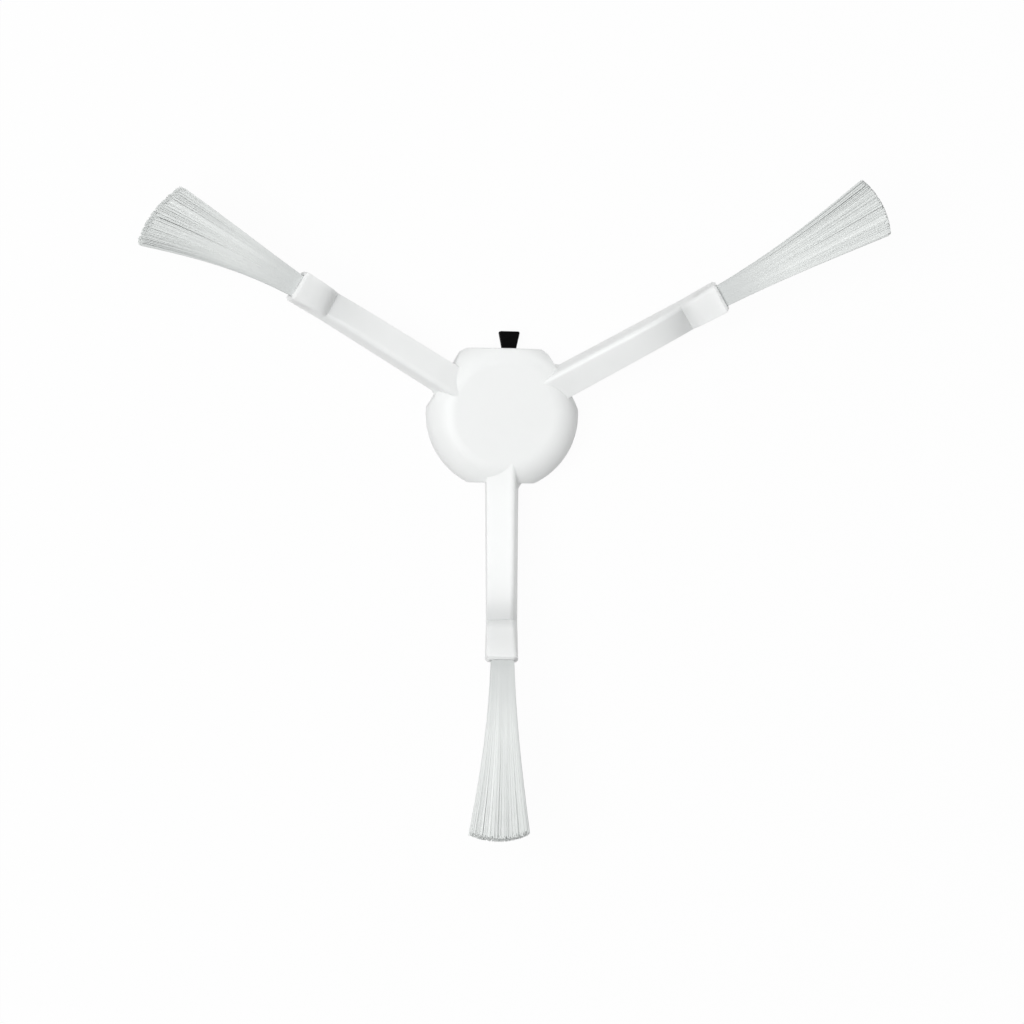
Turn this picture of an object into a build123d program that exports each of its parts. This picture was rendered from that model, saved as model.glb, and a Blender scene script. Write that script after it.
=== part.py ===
from build123d import *

import os

# Three-armed side brush of a robot vacuum cleaner, lying on its back with the dome up.
# Origin: on the drive axis, in the plane of the hub's rim. +Z points to the floor that is swept.
# Lengths are in millimetres and angles in degrees.

# Hub: a hollow dome with a flat for each arm and one for the key of the drive bush
hub_radius = 15.5
hub_height = 9.6
shoulder_radius = 5.4
hub_wall = 1.8
hub_roof = 2.0
hollow_chamfer = 2.6
arm_flat = 14.0
key_flat = 13.5
flat_fillet = 0.8
rib_thickness = 1.4
rib_recess = 1.2

# Arms: a wide face that slopes down clockwise, a ridge near the other edge and a dip before the end
arm_count = 3
first_arm_angle = 30.0
arm_rise = 12.0
arm_base_height = 2.2
arm_waist = 29.0
arm_length = 51.4
root_width = 6.9
neck_width = 6.4
arm_ridge = 5.4
arm_edge = 3.5
dip_depth = 2.5
sink_power = 4
rise_power = 5
ridge_inset = 1.2
arm_rounding = 0.8
root_flare = 1.2

# Bristle holders: each arm rises from the dip to a squarer end, with a blind pocket
holder_length = 8.4
holder_width = 6.8
holder_height = 4.5
holder_inset = 0.7
end_chamfer = 0.5
pocket_width = 4.9
pocket_height = 2.4
pocket_depth = 4.8
pocket_middle = 2.0

# Bristle tufts: strands that fan out of a fused root
root_clearance = 0.05
bristle_length = 35.4
strand_columns = 9
strand_rows = 3
strand_bends = 3
strand_gap = 0.06
strand_swell = 1.7
strand_overlap = 0.5
fan_width = 13.0
fan_depth = 6.2
fan_power = 1.65
tip_bow = 1.2
tip_scatter = 0.7
scatter_step = 0.618

# Drive bush: pressed into the boss inside the hub, kept from turning by a key in the rim
boss_wall = 2.0
bush_radius = 5.2
bush_length = 6.6
bush_clearance = 0.05
socket_radius = 3.0
socket_depth = 5.4
keyway_width = 1.4
keyway_depth = 0.8
key_offset = 1.2
key_width = 2.8
key_bottom = 0.5
key_thickness = 2.4
key_clearance = 0.1
tab_length = 3.6
tab_width = 4.3
tab_corner = 0.35

# Each arm is drawn along +X from the axis, then raised to its slope and turned to its place
arm_root = hub_radius - shoulder_radius - hub_wall
arm_neck = arm_length - holder_length
end_width = holder_width - 2 * end_chamfer
end_height = holder_height - end_chamfer
arm_places = [
    Location((0, 0, 0), (0, 0, first_arm_angle + number * 360 / arm_count))
    * Location((0, 0, arm_base_height), (0, -arm_rise, 0))
    for number in range(arm_count)
]


def dome_profile(radius, height, soften, shoulder):
    """Half section of a dome: a flat crown, a straight wall and a softened shoulder between them."""
    with BuildSketch(Plane.XZ) as profile:
        Rectangle(radius, height, align=(Align.MIN, Align.MIN))
        soften(profile.vertices().group_by(Axis.X)[-1].sort_by(Axis.Y)[-1], shoulder)
    return profile.sketch


def flat_cuts(inset):
    """Plan of what is cut off the round hub to leave its flats, moved inwards by the inset."""
    with BuildSketch() as cuts:
        with PolarLocations(arm_flat - inset, arm_count, first_arm_angle):
            Rectangle(hub_radius, 2 * hub_radius, align=(Align.MIN, Align.CENTER))
        with Locations((0, key_flat - inset)):
            Rectangle(2 * hub_radius, hub_radius, align=(Align.CENTER, Align.MIN))
    return cuts.sketch


def arm_section(distance, width, ridge, edge, inset):
    """Section of an arm across its length: low on the clockwise side, with a ridge near the other."""
    with BuildSketch(Plane.YZ.offset(distance)) as section:
        Polygon(
            (-width / 2, 0),
            (width / 2, 0),
            (width / 2 - inset, ridge),
            (-width / 2, edge),
            align=None,
        )
        upper_corners = section.vertices().sort_by(Axis.Y)[-2:]
        fillet(upper_corners.sort_by(Axis.X)[-1], arm_rounding)
    return section.sketch


def blade_section(distance):
    """Section of the long blade of an arm, which is level to the waist, then sinks towards the dip."""
    sink = dip_depth * max(0, (distance - arm_waist) / (arm_neck - arm_waist)) ** sink_power
    width = root_width + (neck_width - root_width) * (distance - arm_root) / (arm_neck - arm_root)
    return arm_section(distance, width, arm_ridge - sink, arm_edge - sink, ridge_inset)


def holder_section(share):
    """Section of a bristle holder at that share of its length, as it rises from the dip to its rim."""
    left = (1 - share) ** rise_power
    return arm_section(
        arm_neck + share * (holder_length - end_chamfer),
        holder_width + (1 - share) * (neck_width - holder_width),
        holder_height + left * (arm_ridge - dip_depth - holder_height),
        holder_height + left * (arm_edge - dip_depth - holder_height),
        holder_inset + (1 - share) * (ridge_inset - holder_inset),
    )


def flare_section(distance, flare):
    """Section of the flare at the root of an arm, which widens its steep side towards the hub."""
    with BuildSketch(Plane.YZ.offset(distance)) as section:
        Polygon(
            (0, arm_edge / 2),
            (root_width / 2 + flare, 0),
            (root_width / 2 - ridge_inset, arm_ridge - arm_rounding),
            align=None,
        )
    return section.sketch


# Dome of the hub as a solid, with the edges of its flats softened
with BuildPart() as dome:
    revolve(dome_profile(hub_radius, hub_height, fillet, shoulder_radius), axis=Axis.Z)
    extrude(flat_cuts(0), amount=hub_height, mode=Mode.SUBTRACT)
    flats = dome.faces().filter_by(GeomType.PLANE).filter_by(Axis.Z, reverse=True)
    fillet(flats.edges().filter_by_position(Axis.Z, 0, hub_height, (False, False)), flat_fillet)

# Hollow of the hub, open at the rim
with BuildPart() as hollow:
    revolve(
        dome_profile(hub_radius - hub_wall, hub_height - hub_roof, chamfer, hollow_chamfer),
        axis=Axis.Z,
    )
    extrude(flat_cuts(hub_wall), amount=hub_height, mode=Mode.SUBTRACT)

# Ribs from the axis to the wall, one under each arm
with BuildPart() as ribs:
    with PolarLocations(0, arm_count, first_arm_angle):
        with Locations((0, 0, rib_recess)):
            Box(hub_radius, rib_thickness, hub_height, align=(Align.MIN, Align.CENTER, Align.MIN))
    add(dome.part, mode=Mode.INTERSECT)

# One arm along +X: the long blade down to the dip, then the bristle holder with its pocket
with BuildPart() as arm:
    loft([blade_section(arm_root), blade_section(arm_waist)])
    loft([blade_section(arm_waist + share * (arm_neck - arm_waist)) for share in (0, 0.4, 0.7, 0.87, 1)])
    loft([holder_section(share) for share in (0, 0.12, 0.3, 0.6, 1)])
    loft([holder_section(1), arm_section(arm_length, end_width, end_height, end_height, holder_inset)])
    with BuildSketch(Plane.YZ.offset(arm_length)):
        with Locations((0, pocket_middle)):
            Rectangle(pocket_width, pocket_height)
    extrude(amount=-pocket_depth, mode=Mode.SUBTRACT)

with BuildPart() as flare:
    loft(
        [
            flare_section(arm_flat - root_flare, 2 * root_flare),
            flare_section(arm_flat + root_flare / 3, root_flare / 2),
            flare_section(arm_flat + 2 * root_flare, -arm_rounding / 2),
        ]
    )

# White moulding: hub, arms, boss and ribs in one piece
with BuildPart() as brush_body:
    add(dome.part)
    with Locations(*arm_places):
        add(arm.part)
    with Locations(*arm_places):
        add(flare.part)
    add(hollow.part, mode=Mode.SUBTRACT)
    add(ribs.part)
    with BuildSketch(Plane.XY):
        Circle(bush_radius + boss_wall)
    extrude(amount=hub_height - hub_roof / 2)
    with BuildSketch(Plane.XY):
        Circle(bush_radius + bush_clearance)
    extrude(amount=bush_length, mode=Mode.SUBTRACT)
    with BuildSketch(Plane.XY):
        with Locations((key_offset, 0)):
            Rectangle(key_width + 2 * key_clearance, hub_radius, align=(Align.CENTER, Align.MIN))
    extrude(amount=key_bottom + key_thickness + key_clearance, mode=Mode.SUBTRACT)

brush_body.part.label = "brush_body"

# Black bush: a round drive socket with two keyways for the shaft, and a key with a flared tab
with BuildPart() as drive_bush:
    with BuildSketch(Plane.XY):
        Circle(bush_radius)
    extrude(amount=bush_length)
    with BuildSketch(Plane.XY.offset(key_bottom)):
        with Locations((key_offset, 0)):
            Polygon(
                (-key_width / 2, 0),
                (key_width / 2, 0),
                (key_width / 2, key_flat),
                (tab_width / 2, key_flat + tab_length),
                (-tab_width / 2, key_flat + tab_length),
                (-key_width / 2, key_flat),
                align=None,
            )
    extrude(amount=key_thickness)
    fillet(drive_bush.edges().filter_by(Axis.Z).group_by(Axis.Y)[-1], tab_corner)
    with BuildSketch(Plane.XY):
        Circle(socket_radius)
        Rectangle(2 * (socket_radius + keyway_depth), keyway_width)
    extrude(amount=socket_depth, mode=Mode.SUBTRACT)

drive_bush.part.label = "drive_bush"

# Fused root of a tuft along +X, and the grid of strands that grows from its outer face
tuft_width = pocket_width - 2 * root_clearance
tuft_height = pocket_height - 2 * root_clearance
column_pitch = tuft_width / strand_columns
row_pitch = tuft_height / strand_rows


def bristle_strand(row, column, columns):
    """One strand: it leaves the root straight, then bends outwards to its place in the fan."""
    start_y = (column - (columns - 1) / 2) * column_pitch
    start_z = (row - (strand_rows - 1) / 2) * row_pitch
    side = 2 * start_y / tuft_width
    drift_y = start_y * (fan_width / tuft_width - 1)
    drift_z = start_z * (fan_depth / tuft_height - 1)
    scatter = (row * strand_columns + column) * scatter_step % 1
    reach = bristle_length - tip_bow * side**2 - tip_scatter * scatter
    bends = []
    for stop in range(strand_bends + 1):
        share = stop / strand_bends
        drift = share**fan_power
        swell = 1 + (strand_swell - 1) * share
        half_width = swell * (column_pitch - strand_gap) / 2
        half_height = swell * (row_pitch - strand_gap) / 2
        along = share * (reach + strand_overlap) - strand_overlap
        across = start_y + drift * drift_y
        up = start_z + drift * drift_z
        bends.append(
            [
                (along, across + half_width, up + half_height),
                (along, across - half_width, up + half_height),
                (along, across - half_width, up - half_height),
                (along, across + half_width, up - half_height),
            ]
        )
    with BuildPart() as strand:
        for near, far in zip(bends, bends[1:]):
            ConvexPolyhedron(near + far)
    return strand.part


with BuildPart() as tuft:
    with BuildSketch(Plane.YZ):
        Rectangle(tuft_width, tuft_height)
    extrude(amount=root_clearance - pocket_depth)
    add(
        [
            bristle_strand(row, column, strand_columns - row % 2)
            for row in range(strand_rows)
            for column in range(strand_columns - row % 2)
        ]
    )

os.makedirs("parts", exist_ok=True)
export_step(brush_body.part, "parts/brush_body.step")
export_step(drive_bush.part, "parts/drive_bush.step")
for side, arm_place in zip(("right", "left", "front"), arm_places):
    with BuildPart() as bristle_tuft:
        with Locations(arm_place * Location((arm_length, 0, pocket_middle))):
            add(tuft.part)
    bristle_tuft.part.label = f"bristle_tuft_{side}"
    export_step(bristle_tuft.part, f"parts/bristle_tuft_{side}.step")
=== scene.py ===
from math import cos, radians, sin, sqrt
from random import Random

import bmesh
import bpy
from mathutils import Matrix, Vector


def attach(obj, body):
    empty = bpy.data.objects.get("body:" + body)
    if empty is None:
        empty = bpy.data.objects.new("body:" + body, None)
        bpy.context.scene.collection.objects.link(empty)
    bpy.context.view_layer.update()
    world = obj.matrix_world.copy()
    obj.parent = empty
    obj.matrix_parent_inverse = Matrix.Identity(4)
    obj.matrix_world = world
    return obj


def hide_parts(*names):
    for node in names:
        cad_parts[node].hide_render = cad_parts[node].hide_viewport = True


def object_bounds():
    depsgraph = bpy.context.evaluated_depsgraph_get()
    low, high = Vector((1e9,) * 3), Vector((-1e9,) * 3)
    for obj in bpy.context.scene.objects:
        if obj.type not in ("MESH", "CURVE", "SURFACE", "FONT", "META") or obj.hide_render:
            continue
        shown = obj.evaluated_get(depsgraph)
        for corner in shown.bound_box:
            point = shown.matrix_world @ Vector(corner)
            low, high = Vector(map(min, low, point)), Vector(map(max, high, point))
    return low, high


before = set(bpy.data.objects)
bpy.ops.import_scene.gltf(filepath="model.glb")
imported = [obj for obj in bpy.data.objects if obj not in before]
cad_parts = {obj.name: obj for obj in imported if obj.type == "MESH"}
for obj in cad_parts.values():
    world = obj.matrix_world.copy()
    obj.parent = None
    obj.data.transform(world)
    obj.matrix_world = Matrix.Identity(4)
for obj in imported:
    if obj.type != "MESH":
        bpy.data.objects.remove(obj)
cad_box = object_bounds()

# Brush body: the hub, the three arms and their bristle holders, moulded in one piece.
# It is satin white plastic, with faint flow marks and the fine grain of the mould on its skin.
# The robot's drive shaft carries it, so nothing else holds it.
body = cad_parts["brush_body"]
grain_strength = 0.25
light_goes_under_skin = 0.6
light_spreads = 0.0014


def moulded_skin():
    """Skin of a moulded plastic: broad flow marks in tone, and a fine grain in gloss and height."""
    group = bpy.data.node_groups.new("moulded_skin", "ShaderNodeTree")
    face = group.interface
    for name, kind in (
        ("Light Tone", "NodeSocketColor"),
        ("Dark Tone", "NodeSocketColor"),
        ("Low Roughness", "NodeSocketFloat"),
        ("High Roughness", "NodeSocketFloat"),
        ("Flow Scale", "NodeSocketFloat"),
        ("Grain Scale", "NodeSocketFloat"),
    ):
        face.new_socket(name, in_out="INPUT", socket_type=kind)
    face.new_socket("Color", in_out="OUTPUT", socket_type="NodeSocketColor")
    face.new_socket("Roughness", in_out="OUTPUT", socket_type="NodeSocketFloat")
    face.new_socket("Height", in_out="OUTPUT", socket_type="NodeSocketFloat")

    nodes, links = group.nodes, group.links
    given = nodes.new("NodeGroupInput")
    made = nodes.new("NodeGroupOutput")
    place = nodes.new("ShaderNodeTexCoord")

    flow = nodes.new("ShaderNodeTexNoise")
    flow.inputs["Detail"].default_value = 3
    flow.inputs["Distortion"].default_value = 0.6
    links.new(place.outputs["Object"], flow.inputs["Vector"])
    links.new(given.outputs["Flow Scale"], flow.inputs["Scale"])

    grain = nodes.new("ShaderNodeTexNoise")
    grain.inputs["Detail"].default_value = 2
    links.new(place.outputs["Object"], grain.inputs["Vector"])
    links.new(given.outputs["Grain Scale"], grain.inputs["Scale"])

    tone = nodes.new("ShaderNodeMix")
    tone.data_type = "RGBA"
    links.new(flow.outputs["Fac"], tone.inputs["Factor"])
    links.new(given.outputs["Dark Tone"], tone.inputs["A"])
    links.new(given.outputs["Light Tone"], tone.inputs["B"])

    gloss = nodes.new("ShaderNodeMapRange")
    links.new(grain.outputs["Fac"], gloss.inputs["Value"])
    links.new(given.outputs["Low Roughness"], gloss.inputs["To Min"])
    links.new(given.outputs["High Roughness"], gloss.inputs["To Max"])

    links.new(tone.outputs["Result"], made.inputs["Color"])
    links.new(gloss.outputs["Result"], made.inputs["Roughness"])
    links.new(grain.outputs["Fac"], made.inputs["Height"])
    return group


def distance_fade():
    """Mask that goes smoothly from 0 to 1 between two distances from the drive axis."""
    group = bpy.data.node_groups.new("distance_fade", "ShaderNodeTree")
    group.interface.new_socket("Start", in_out="INPUT", socket_type="NodeSocketFloat")
    group.interface.new_socket("End", in_out="INPUT", socket_type="NodeSocketFloat")
    group.interface.new_socket("Mask", in_out="OUTPUT", socket_type="NodeSocketFloat")
    nodes, links = group.nodes, group.links
    given = nodes.new("NodeGroupInput")
    made = nodes.new("NodeGroupOutput")
    place = nodes.new("ShaderNodeTexCoord")
    flat = nodes.new("ShaderNodeVectorMath")
    flat.operation = "MULTIPLY"
    flat.inputs[1].default_value = (1, 1, 0)
    links.new(place.outputs["Object"], flat.inputs[0])
    reach = nodes.new("ShaderNodeVectorMath")
    reach.operation = "LENGTH"
    links.new(flat.outputs["Vector"], reach.inputs[0])
    fade = nodes.new("ShaderNodeMapRange")
    fade.interpolation_type = "SMOOTHSTEP"
    links.new(reach.outputs["Value"], fade.inputs["Value"])
    links.new(given.outputs["Start"], fade.inputs["From Min"])
    links.new(given.outputs["End"], fade.inputs["From Max"])
    links.new(fade.outputs["Result"], made.inputs["Mask"])
    return group


def moulded_plastic(
    name, light, dark, low_roughness, high_roughness, flow_scale, grain_scale, grain_depth
):
    """Plastic with the moulded skin in two close tones and a bump of the grain's depth."""
    material = bpy.data.materials.new(name)
    material.use_nodes = True
    nodes, links = material.node_tree.nodes, material.node_tree.links
    skin = nodes.new("ShaderNodeGroup")
    skin.node_tree = moulded_skin_group
    skin.inputs["Light Tone"].default_value = light
    skin.inputs["Dark Tone"].default_value = dark
    skin.inputs["Low Roughness"].default_value = low_roughness
    skin.inputs["High Roughness"].default_value = high_roughness
    skin.inputs["Flow Scale"].default_value = flow_scale
    skin.inputs["Grain Scale"].default_value = grain_scale
    bump = nodes.new("ShaderNodeBump")
    bump.inputs["Strength"].default_value = grain_strength
    bump.inputs["Distance"].default_value = grain_depth
    links.new(skin.outputs["Height"], bump.inputs["Height"])
    shader = nodes["Principled BSDF"]
    links.new(skin.outputs["Color"], shader.inputs["Base Color"])
    links.new(skin.outputs["Roughness"], shader.inputs["Roughness"])
    links.new(bump.outputs["Normal"], shader.inputs["Normal"])
    return material


moulded_skin_group = moulded_skin()
white_plastic = moulded_plastic(
    "satin_white_plastic",
    light=(0.885, 0.897, 0.892, 1),
    dark=(0.86, 0.872, 0.867, 1),
    low_roughness=0.38,
    high_roughness=0.52,
    flow_scale=90,
    grain_scale=4200,
    grain_depth=0.00002,
)
white_shader = white_plastic.node_tree.nodes["Principled BSDF"]
white_shader.inputs["Subsurface Weight"].default_value = light_goes_under_skin
white_shader.inputs["Subsurface Radius"].default_value = (1, 1, 1)
white_shader.inputs["Subsurface Scale"].default_value = light_spreads
body.material_slots[0].material = white_plastic

# Painted shade on the upper side of each arm: a grey mixed into the colour, darkest in the dip before
# the holder.
# Over the hub the colour is a little greyer than in the arms: painted shade, so that the hub looks
# darker than the thin arms.
# Each pair is the two distances from the drive axis between which a mask goes from 0 to 1.
painted_dip_shade_colour = (0.50, 0.51, 0.51, 1)
painted_dip_shade_strength = 1.25
painted_dip_shade_power = 1.5
painted_dip_shade_off_holder = 0.66
painted_dip_shade_grows = (0.0250, 0.0540)
painted_dip_shade_thins = (0.0415, 0.0435)
painted_dip_shade_ends = (0.0515, 0.0430)
hub_painted_shade_tone = (0.98, 0.98, 0.98, 1)
hub_painted_shade_ends = (0.0175, 0.0135)
distance_fade_group = distance_fade()
body_nodes, body_links = white_plastic.node_tree.nodes, white_plastic.node_tree.links


def body_fade(start, end):
    """Mask on the body that goes from 0 at the start to 1 at the end, both distances from the axis."""
    fade = body_nodes.new("ShaderNodeGroup")
    fade.node_tree = distance_fade_group
    fade.inputs["Start"].default_value = start
    fade.inputs["End"].default_value = end
    return fade.outputs["Mask"]


def body_sum(operation, *values):
    """Result of one sum on the body's masks and numbers, kept between 0 and 1."""
    step = body_nodes.new("ShaderNodeMath")
    step.operation = operation
    step.use_clamp = True
    for socket, value in zip(step.inputs, values):
        if isinstance(value, (int, float)):
            socket.default_value = value
        else:
            body_links.new(value, socket)
    return step.outputs["Value"]


# Painted shade in the dips: the colour darkens towards the dip before each holder, less on the holder,
# only on faces turned up.
skin_place = body_nodes.new("ShaderNodeTexCoord")
skin_faces = body_nodes.new("ShaderNodeSeparateXYZ")
body_links.new(skin_place.outputs["Normal"], skin_faces.inputs["Vector"])
painted_dip_shade = body_sum("POWER", body_fade(*painted_dip_shade_grows), painted_dip_shade_power)
painted_dip_shade = body_sum("MULTIPLY", painted_dip_shade, painted_dip_shade_strength)
holder_share = body_sum("MULTIPLY_ADD", body_fade(*painted_dip_shade_thins), -painted_dip_shade_off_holder, 1)
painted_dip_shade = body_sum("MULTIPLY", painted_dip_shade, holder_share)
painted_dip_shade = body_sum("MULTIPLY", painted_dip_shade, body_fade(*painted_dip_shade_ends))
painted_dip_shade = body_sum("MULTIPLY", painted_dip_shade, skin_faces.outputs["Z"])
# Painted shade: the colour over the hub is darkened a little.
hub_painted_shade = body_nodes.new("ShaderNodeMix")
hub_painted_shade.data_type = "RGBA"
hub_painted_shade.blend_type = "MULTIPLY"
hub_painted_shade.inputs["B"].default_value = hub_painted_shade_tone
body_links.new(body_fade(*hub_painted_shade_ends), hub_painted_shade.inputs["Factor"])
body_links.new(white_shader.inputs["Base Color"].links[0].from_socket, hub_painted_shade.inputs["A"])
painted_dip_shaded = body_nodes.new("ShaderNodeMix")
painted_dip_shaded.data_type = "RGBA"
painted_dip_shaded.inputs["B"].default_value = painted_dip_shade_colour
body_links.new(painted_dip_shade, painted_dip_shaded.inputs["Factor"])
body_links.new(hub_painted_shade.outputs["Result"], painted_dip_shaded.inputs["A"])
body_links.new(painted_dip_shaded.outputs["Result"], white_shader.inputs["Base Color"])

# Drive bush: a short black plastic sleeve that is pressed into the boss inside the hub.
# Its key lies in a slot of the rim and ends in the small flared tab that shows beside the hub.
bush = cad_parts["drive_bush"]
black_plastic = moulded_plastic(
    "matt_black_plastic",
    light=(0.003, 0.003, 0.003, 1),
    dark=(0.0015, 0.0015, 0.0015, 1),
    low_roughness=0.65,
    high_roughness=0.85,
    flow_scale=260,
    grain_scale=5200,
    grain_depth=0.00003,
)
black_plastic.node_tree.nodes["Principled BSDF"].inputs["Specular IOR Level"].default_value = 0.05
bush.material_slots[0].material = black_plastic

# Bristle tufts: some hundreds of clear nylon filaments each, fused into a block at the root.
# The block is pressed into the pocket at the end of an arm, and the filaments fan out of it.
# Each tuft has been bent a little its own way in use, and its filaments hold together in clumps.
arm_rise = radians(12.0)
arm_base = 0.0022
arm_end = 0.0514
pocket_middle = 0.0020
pocket_depth = 0.0046
root_width = 0.0048
root_height = 0.0022
root_rounding = 0.0002
filament_start = 0.0008
filament_span = 0.0044
filament_radius = 0.000075
filament_swell = 0.5
outer_columns = 140
inner_columns = 56
filament_rows = 11
outer_looseness = 0.05
inner_looseness = 0.4
column_looseness = 0.3
filament_strays = (0.00009, 0.00012)
clump_count = 12
clump_rows = 4
clump_strays = (0.00004, 0.00006)
filament_stops = 7
fan_depth = 0.0056
tip_bow = 0.0012
tip_scatter = 0.0007
plain_tone = 0.4
clump_tone_share = 0.45
filament_tone_share = 0.15
side_shade = 0.9
side_shade_power = 6
# Painted shade at the tufts' roots fades out between these two distances from the drive axis.
painted_root_shade_fades = (0.048, 0.066)


def nylon():
    """Clear nylon: pale and a little cool, with a tone for each clump, painted shade near the root and
    a gloss that varies.
    """
    material = bpy.data.materials.new("clear_nylon")
    material.use_nodes = True
    nodes, links = material.node_tree.nodes, material.node_tree.links
    filament = nodes.new("ShaderNodeAttribute")
    filament.attribute_name = "filament_tone"
    tone = nodes.new("ShaderNodeValToRGB")
    tone.color_ramp.elements[0].color = (0.60, 0.62, 0.615, 1)
    tone.color_ramp.elements[1].color = (0.82, 0.84, 0.83, 1)
    middle_tone = tone.color_ramp.elements.new(0.4)
    middle_tone.color = (0.74, 0.76, 0.75, 1)
    links.new(filament.outputs["Fac"], tone.inputs["Fac"])
    # Painted shade: the colour is greyer near the root where the filaments leave the holder, fading out
    # along the tuft.
    out_of_pocket = nodes.new("ShaderNodeGroup")
    out_of_pocket.node_tree = distance_fade_group
    out_of_pocket.inputs["Start"].default_value = painted_root_shade_fades[0]
    out_of_pocket.inputs["End"].default_value = painted_root_shade_fades[1]
    painted_root_shade = nodes.new("ShaderNodeMix")
    painted_root_shade.data_type = "RGBA"
    painted_root_shade.inputs["A"].default_value = (0.64, 0.66, 0.655, 1)
    links.new(out_of_pocket.outputs["Mask"], painted_root_shade.inputs["Factor"])
    links.new(tone.outputs["Color"], painted_root_shade.inputs["B"])
    place = nodes.new("ShaderNodeTexCoord")
    lines = nodes.new("ShaderNodeTexNoise")
    lines.inputs["Scale"].default_value = 1500
    links.new(place.outputs["Object"], lines.inputs["Vector"])
    gloss = nodes.new("ShaderNodeMapRange")
    gloss.inputs["To Min"].default_value = 0.6
    gloss.inputs["To Max"].default_value = 0.8
    links.new(lines.outputs["Fac"], gloss.inputs["Value"])
    shader = nodes["Principled BSDF"]
    shader.inputs["Specular IOR Level"].default_value = 0.2
    links.new(painted_root_shade.outputs["Result"], shader.inputs["Base Color"])
    links.new(gloss.outputs["Result"], shader.inputs["Roughness"])
    return material


def bristle_tuft(side, turn, length, fan_width, fan_power, lean, tip_slant):
    """One tuft on the arm at that turn: the fan's width is at the tips, which lean and may slant."""
    chance = Random(side)
    clumps = {}
    filament_tones = []
    lines = bpy.data.curves.new("filament_lines", "CURVE")
    lines.dimensions = "3D"
    lines.bevel_depth = filament_radius
    lines.bevel_resolution = 1
    lines.resolution_u = 2
    lines.use_fill_caps = True
    for row in range(filament_rows):
        outside = row in (0, filament_rows - 1)
        columns = outer_columns if outside else inner_columns
        looseness = outer_looseness if outside else inner_looseness
        for column in range(columns):
            sideways = chance.uniform(-column_looseness, column_looseness)
            across = (column + 0.5 * (row % 2) + sideways) / (columns - 0.5) - 0.5
            up = (row + chance.uniform(-looseness, looseness)) / (filament_rows - 1) - 0.5
            across = max(-0.5, min(0.5, across))
            up = max(-0.5, min(0.5, up))
            clump = (row // clump_rows, int(clump_count * (column + 2 * row) / columns))
            if clump not in clumps:
                clumps[clump] = (chance.random(), *(chance.gauss(0, stray) for stray in clump_strays))
            tone, clump_across, clump_up = clumps[clump]
            tone = plain_tone + clump_tone_share * tone + filament_tone_share * chance.random()
            filament_tones.append(tone * (1 - side_shade * abs(2 * across) ** side_shade_power))
            reach = length - tip_bow * (2 * across) ** 2 - tip_scatter * chance.random() ** 2
            reach -= tip_slant * (0.5 - across)
            stray_across = clump_across + chance.gauss(0, filament_strays[0])
            stray_up = clump_up + chance.gauss(0, filament_strays[1])
            spline = lines.splines.new("NURBS")
            spline.points.add(filament_stops - 1)
            for stop, point in enumerate(spline.points):
                share = stop / (filament_stops - 1)
                spread = share**fan_power
                y = across * (filament_span + spread * (fan_width - filament_span))
                y += spread * stray_across + lean * share**2
                z = up * (root_height + spread * (fan_depth - root_height)) + spread * stray_up
                point.co = (share * reach - (1 - share) * filament_start, y, z, 1)
                point.radius = 1 + filament_swell * spread
            spline.order_u = 4
            spline.use_endpoint_u = True
    line_object = bpy.data.objects.new("filament_lines", lines)
    tuft_mesh = bpy.data.meshes.new_from_object(line_object)
    bpy.data.objects.remove(line_object)
    bpy.data.curves.remove(lines)
    vertices_each = len(tuft_mesh.vertices) // len(filament_tones)
    tones = tuft_mesh.attributes.new("filament_tone", "FLOAT", "POINT")
    tones.data.foreach_set("value", [tone for tone in filament_tones for _ in range(vertices_each)])

    shape = bmesh.new()
    shape.from_mesh(tuft_mesh)
    for face in shape.faces:
        face.smooth = True
    block = bmesh.ops.create_cube(shape, size=1)["verts"]
    bmesh.ops.scale(shape, vec=(pocket_depth, root_width, root_height), verts=block)
    bmesh.ops.translate(shape, vec=(-pocket_depth / 2, 0, 0), verts=block)
    edges = list(dict.fromkeys(edge for corner in block for edge in corner.link_edges))
    bmesh.ops.bevel(shape, geom=edges, offset=root_rounding, segments=2, affect="EDGES")
    arm = Matrix.Rotation(turn, 4, "Z") @ Matrix.Translation((0, 0, arm_base))
    arm = arm @ Matrix.Rotation(-arm_rise, 4, "Y")
    shape.transform(arm @ Matrix.Translation((arm_end, 0, pocket_middle)))
    shape.to_mesh(tuft_mesh)
    shape.free()

    tuft = bpy.data.objects.new(f"filaments_{side}", tuft_mesh)
    bpy.context.collection.objects.link(tuft)
    tuft_mesh.materials.clear()
    tuft_mesh.materials.append(clear_nylon)
    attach(tuft, "root")
    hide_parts(f"bristle_tuft_{side}")


clear_nylon = nylon()
for side, turn, length, fan_width, fan_power, lean, tip_slant in (
    ("right", 30, 0.0372, 0.0120, 1.5, 0.0010, 0),
    ("left", 150, 0.0328, 0.0138, 1.4, 0.0025, 0.0014),
    ("front", 270, 0.0364, 0.0117, 1.6, -0.0006, 0),
):
    bristle_tuft(side, radians(turn), length, fan_width, fan_power, lean, tip_slant)

# Floor: a plain white sheet that the brush lies on, with the rim of the hub down.
# The camera and the reflections see it nearly pure white, with a faint soft shadow left on it.
# It is open from below, so that the back of the brush can be looked at through it.
floor_reach = 1.5
floor_gap = 0.00002
floor_whiteness = 0.96
floor_mesh = bpy.data.meshes.new("floor")
floor_shape = bmesh.new()
bmesh.ops.create_grid(floor_shape, x_segments=1, y_segments=1, size=floor_reach)
floor_shape.to_mesh(floor_mesh)
floor_shape.free()
floor = bpy.data.objects.new("floor", floor_mesh)
floor.location.z = cad_box[0][2] - floor_gap
bpy.context.collection.objects.link(floor)

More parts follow.
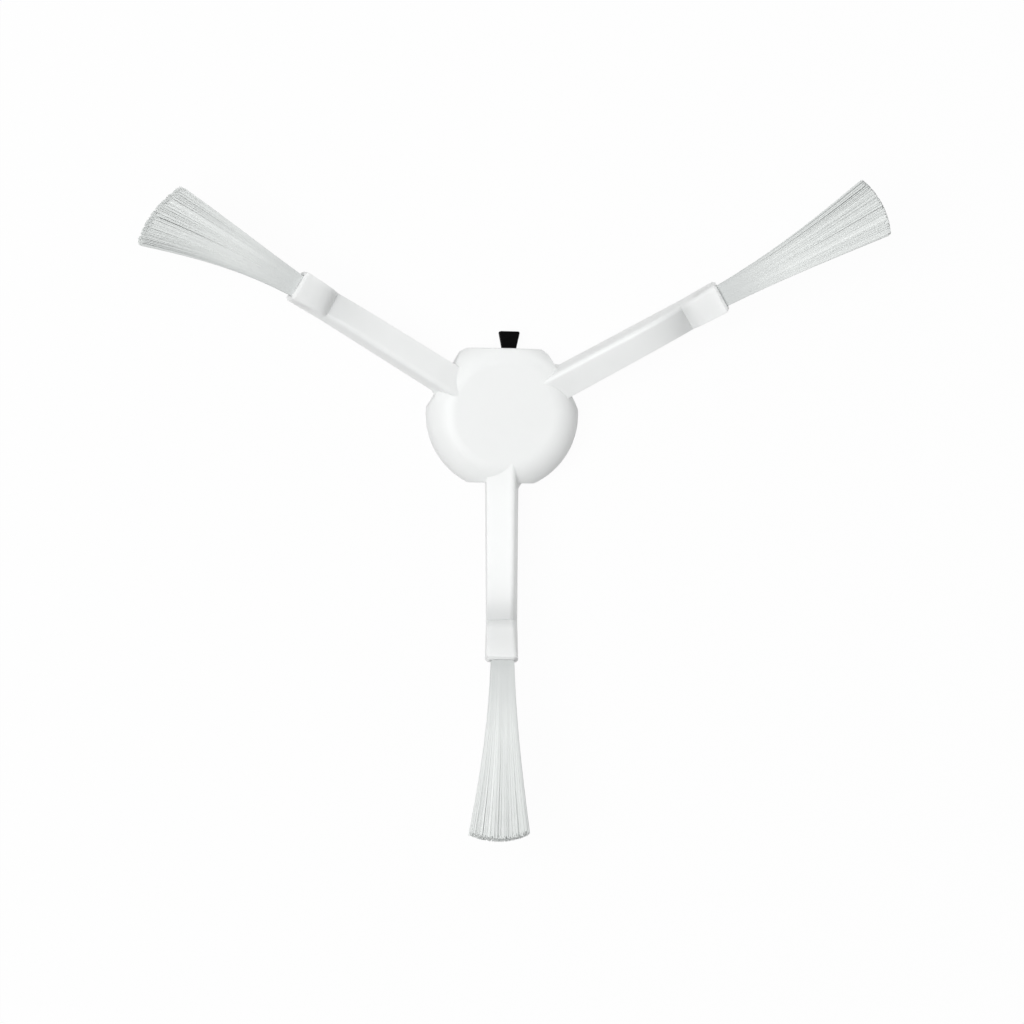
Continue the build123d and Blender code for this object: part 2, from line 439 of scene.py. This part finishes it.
white_sheet = bpy.data.materials.new("white_sheet")
white_sheet.use_nodes = True
floor_nodes, floor_links = white_sheet.node_tree.nodes, white_sheet.node_tree.links
floor_place = floor_nodes.new("ShaderNodeTexCoord")
fibres = floor_nodes.new("ShaderNodeTexNoise")
fibres.inputs["Scale"].default_value = 30
floor_links.new(floor_place.outputs["Object"], fibres.inputs["Vector"])
paper = floor_nodes.new("ShaderNodeValToRGB")
paper.color_ramp.elements[0].color = (0.72, 0.72, 0.72, 1)
paper.color_ramp.elements[1].color = (0.76, 0.76, 0.76, 1)
floor_links.new(fibres.outputs["Fac"], paper.inputs["Fac"])
floor_shader = floor_nodes["Principled BSDF"]
floor_shader.inputs["Roughness"].default_value = 0.9
floor_shader.inputs["Specular IOR Level"].default_value = 0.1
floor_links.new(paper.outputs["Color"], floor_shader.inputs["Base Color"])
floor_glow = floor_nodes.new("ShaderNodeEmission")
floor_rays = floor_nodes.new("ShaderNodeLightPath")
seen_or_mirrored = floor_nodes.new("ShaderNodeMath")
seen_or_mirrored.operation = "MAXIMUM"
floor_links.new(floor_rays.outputs["Is Camera Ray"], seen_or_mirrored.inputs[0])
floor_links.new(floor_rays.outputs["Is Glossy Ray"], seen_or_mirrored.inputs[1])
seen_mirrored_or_through = floor_nodes.new("ShaderNodeMath")
seen_mirrored_or_through.operation = "MAXIMUM"
floor_links.new(seen_or_mirrored.outputs[0], seen_mirrored_or_through.inputs[0])
floor_links.new(floor_rays.outputs["Is Transmission Ray"], seen_mirrored_or_through.inputs[1])
glow_share = floor_nodes.new("ShaderNodeMath")
glow_share.operation = "MULTIPLY"
glow_share.inputs[1].default_value = floor_whiteness
floor_links.new(seen_mirrored_or_through.outputs[0], glow_share.inputs[0])
floor_mix = floor_nodes.new("ShaderNodeMixShader")
floor_links.new(glow_share.outputs[0], floor_mix.inputs["Fac"])
floor_links.new(floor_shader.outputs["BSDF"], floor_mix.inputs[1])
floor_links.new(floor_glow.outputs["Emission"], floor_mix.inputs[2])
floor_side = floor_nodes.new("ShaderNodeNewGeometry")
open_below = floor_nodes.new("ShaderNodeBsdfTransparent")
one_sided = floor_nodes.new("ShaderNodeMixShader")
floor_links.new(floor_side.outputs["Backfacing"], one_sided.inputs["Fac"])
floor_links.new(floor_mix.outputs["Shader"], one_sided.inputs[1])
floor_links.new(open_below.outputs["BSDF"], one_sided.inputs[2])
floor_links.new(one_sided.outputs["Shader"], floor_nodes["Material Output"].inputs["Surface"])
floor_mesh.materials.append(white_sheet)

# Studio: an even pale surround, one large soft lamp high on the left and a smaller one low at the back.
# The camera sees the surround as white.
surround_light = 0.376
surround = bpy.data.worlds.new("pale_surround")
surround.use_nodes = True
bpy.context.scene.world = surround
sky_nodes, sky_links = surround.node_tree.nodes, surround.node_tree.links
sky_light = sky_nodes["Background"]
sky_light.inputs["Color"].default_value = (1, 1, 1, 1)
sky_light.inputs["Strength"].default_value = surround_light
sky_white = sky_nodes.new("ShaderNodeBackground")
sky_white.inputs["Color"].default_value = (1, 1, 1, 1)
sky_rays = sky_nodes.new("ShaderNodeLightPath")
sky_mix = sky_nodes.new("ShaderNodeMixShader")
sky_links.new(sky_rays.outputs["Is Camera Ray"], sky_mix.inputs["Fac"])
sky_links.new(sky_light.outputs["Background"], sky_mix.inputs[1])
sky_links.new(sky_white.outputs["Background"], sky_mix.inputs[2])
sky_links.new(sky_mix.outputs["Shader"], sky_nodes["World Output"].inputs["Surface"])

for name, size, energy, place in (
    ("main_softbox", 0.7, 6.25, (-0.393, -0.035, 0.846)),
    ("fill_softbox", 0.4, 1.65, (0.423, 0.732, 0.308)),
):
    softbox = bpy.data.lights.new(name, "AREA")
    softbox.shape = "DISK"
    softbox.size = size
    softbox.energy = energy
    softbox_stand = bpy.data.objects.new(name, softbox)
    softbox_stand.location = place
    softbox_stand.rotation_euler = (-softbox_stand.location).to_track_quat("-Z", "Y").to_euler()
    bpy.context.collection.objects.link(softbox_stand)

# Camera: almost straight above the brush, a little to its left, with a long lens.
# The scale and the place of the hub's centre are in pixels of the square picture.
yaw, pitch, roll = radians(-5.5), radians(1.0), radians(-1.2)
pixels_per_metre = 4860
distance = 0.8
hub_x, hub_y = 500.8, 414.6
picture_width = 1024
sensor_width = 36
toward = Vector((sin(yaw), sin(pitch), sqrt(1 - sin(yaw) ** 2 - sin(pitch) ** 2)))
right = Vector((sin(roll), cos(roll), 0)).cross(toward).normalized()
upward = toward.cross(right)
middle = picture_width / 2
target = (right * (middle - hub_x) + upward * (hub_y - middle)) / pixels_per_metre
lens = bpy.data.cameras.new("camera")
lens.sensor_width = sensor_width
lens.lens = pixels_per_metre * distance / picture_width * sensor_width
camera = bpy.data.objects.new("camera", lens)
facing = Matrix((right, upward, toward)).transposed().to_4x4()
camera.matrix_world = Matrix.Translation(target + toward * distance) @ facing
bpy.context.collection.objects.link(camera)
bpy.context.scene.camera = camera
bpy.context.scene.view_settings.view_transform = "Standard"
